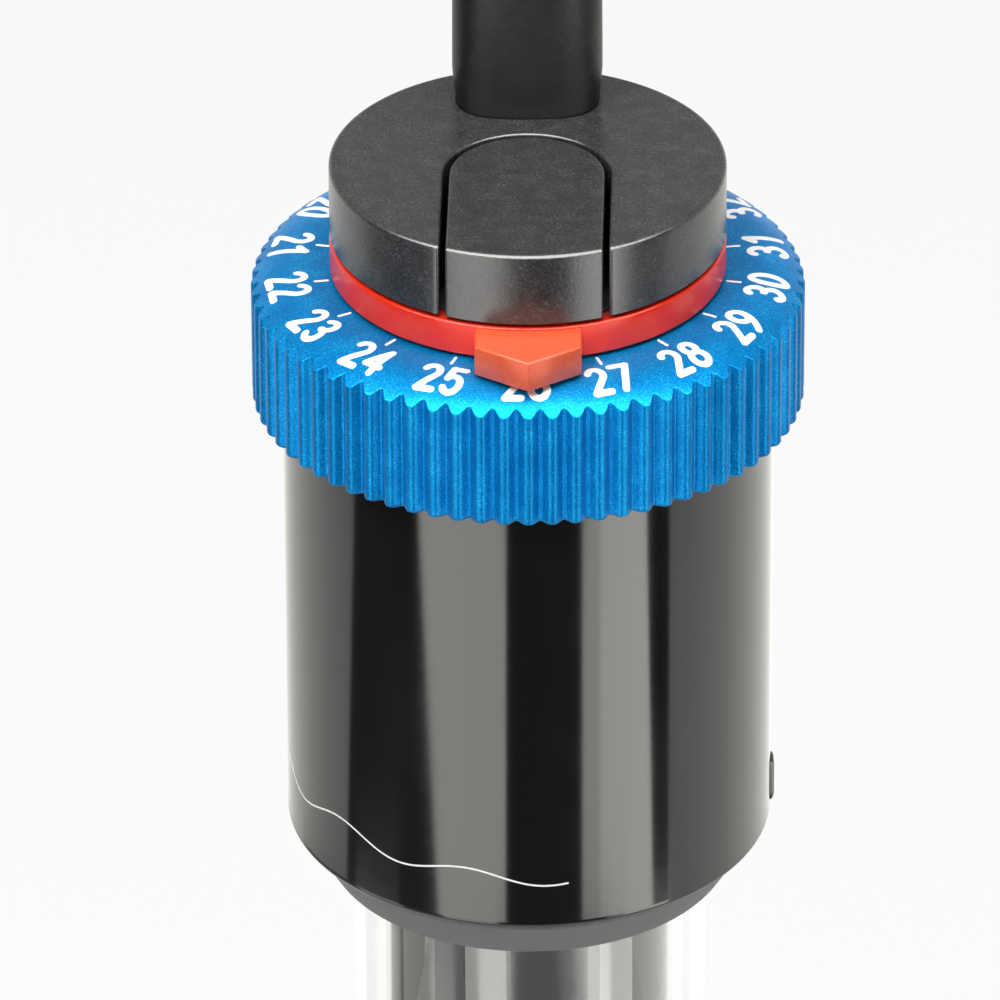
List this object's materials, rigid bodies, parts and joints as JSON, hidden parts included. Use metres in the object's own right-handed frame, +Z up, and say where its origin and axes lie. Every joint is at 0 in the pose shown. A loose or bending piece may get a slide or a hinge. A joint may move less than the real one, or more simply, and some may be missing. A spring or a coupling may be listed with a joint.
{
  "type": "submersible aquarium heater",
  "caption": "Glass-tube aquarium heater with a black head, a fluted temperature dial, a calibration pointer ring, a strain relief and a coiled mains cord with its plug.",
  "frame": {"origin": "on the tube's axis, at the lowest point of its closed end", "axes": "+Z up along the tube towards the cap, -Y towards the pointer's side, +Y towards the cord's side"},
  "size_m": [0.0804, 0.1285, 0.3929],
  "materials": {
    "clear_glass": "clear drawn borosilicate tube",
    "gloss_black_plastic": "polished moulded plastic",
    "grey_rubber": "matt moulded seal",
    "matt_black_plastic": "fine spark-eroded grain",
    "satin_black_plastic": "satin, fine speckled grain",
    "blue_plastic": "satin moulded, fine grain",
    "red_plastic": "glossy moulded",
    "white_plastic": "natural acetal",
    "brass": "turned",
    "black_rubber": "matt moulded",
    "wire_insulation": "extruded insulation",
    "dark_insulating_tube": "smooth varnished tube",
    "spring_bronze": "rolled spring strip",
    "contact_silver": "silver rivet",
    "magnet": "sintered block",
    "bright_steel": "zinc plated",
    "lamp_glass": "small glow lamp envelope",
    "resistor_body": "lacquered",
    "mica": "pressed mica board",
    "white_ceramic": "unglazed steatite",
    "resistance_wire": "coiled resistance wire",
    "glass_fibre": "braided or felted glass fibre",
    "cord_rubber": "extruded rubber sheath",
    "nickel": "nickel plated pin"
  },
  "bodies": {
    "housing": {"glass_tube": "clear_glass", "sleeve": "gloss_black_plastic", "seal_collar": "grey_rubber", "head_core": "matt_black_plastic", "bearing_plate": "matt_black_plastic", "plate_screws": "bright_steel", "cap": "satin_black_plastic", "cap_tongue": "satin_black_plastic", "spindle_seal": "black_rubber", "core_seal": "black_rubber", "tube_gasket": "black_rubber", "tube_bung": "black_rubber", "cable_wires": "wire_insulation", "inner_sleeve": "dark_insulating_tube", "switch_frame": "bright_steel", "fixed_contact": "contact_silver", "bimetal_strip": "spring_bronze", "snap_magnet": "magnet", "terminals": "brass", "thermal_fuse": "bright_steel", "pilot_lamp": "lamp_glass", "lamp_resistor": "resistor_body", "mica_discs": "mica", "tie_rod": "bright_steel", "ceramic_former": "white_ceramic", "winding_clips": "bright_steel", "heating_winding": "resistance_wire", "element_leads": "glass_fibre", "bottom_cushion": "glass_fibre", "cord_relief": "black_rubber", "cord_lead": "cord_rubber", "cord_coil": "cord_rubber", "cord_tail": "cord_rubber", "cord_tie": "matt_black_plastic", "plug_body": "matt_black_plastic", "plug_pins": "nickel", "pin_sleeves": "gloss_black_plastic"},
    "dial": {"dial": "blue_plastic"},
    "pointer": {"pointer_ring": "red_plastic"},
    "spindle": {"pinion": "white_plastic", "adjust_spindle": "brass"},
    "slider": {"adjust_slider": "white_plastic"},
    "contact": {"contact_arm": "spring_bronze", "arm_contact": "contact_silver"}
  },
  "joints": [
    {"name": "dial_turn", "type": "hinge", "parent": "housing", "child": "dial", "pos_m": [0, 0, 0.29], "axis": [0, 0, 1], "range_deg": [-168, 168]},
    {"name": "pointer_turn", "type": "hinge", "parent": "housing", "child": "pointer", "pos_m": [0, 0, 0.298], "axis": [0, 0, 1], "range_deg": [-42, 42]},
    {"name": "spindle_turn", "type": "hinge", "parent": "housing", "child": "spindle", "pos_m": [0, -0.007, 0.289], "axis": [0, 0, 1], "range_deg": [-340, 340]},
    {"name": "slider_travel", "type": "slide", "parent": "housing", "child": "slider", "axis": [0, 0, 1], "range_m": [-0.00068, 0.00068]},
    {"name": "contact_swing", "type": "hinge", "parent": "housing", "child": "contact", "pos_m": [0, -0.0013, 0.2002], "axis": [1, 0, 0], "range_deg": [-1.3, 0], "stiffness_Nm_per_rad": 0.02}
  ],
  "couplings": [
    {"joint": "spindle_turn", "follows": "dial_turn", "ratio": 2},
    {"joint": "slider_travel", "follows": "dial_turn", "m_per_rad": 0.00022282}
  ]
}
